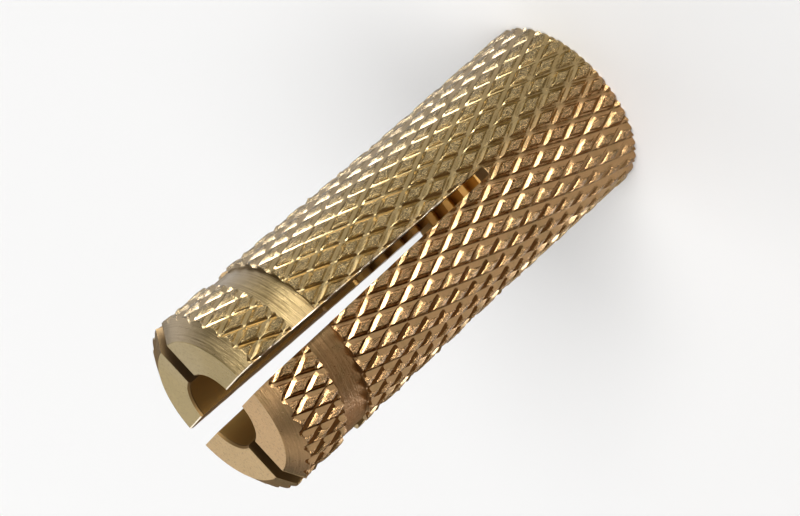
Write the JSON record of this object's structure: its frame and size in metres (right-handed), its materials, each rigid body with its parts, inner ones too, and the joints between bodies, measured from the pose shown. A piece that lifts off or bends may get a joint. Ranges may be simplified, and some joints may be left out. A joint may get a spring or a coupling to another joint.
{
  "type": "drop-in anchor",
  "caption": "Knurled brass sleeve, tapped from its plain end and slit from its coned tip, that a bolt spreads inside a drilled hole.",
  "frame": {"origin": "centre of the plain, threaded end, in the plane of its flat face", "axes": "+Z along the bore from the threaded end to the slit tip; +X and +Y through the middle of two slots"},
  "size_m": [0.0128, 0.0128, 0.032],
  "materials": {
    "brass": "turned and knurled, uncoated, satin"
  },
  "bodies": {
    "root": {"anchor_body": "brass"}
  },
  "joints": []
}
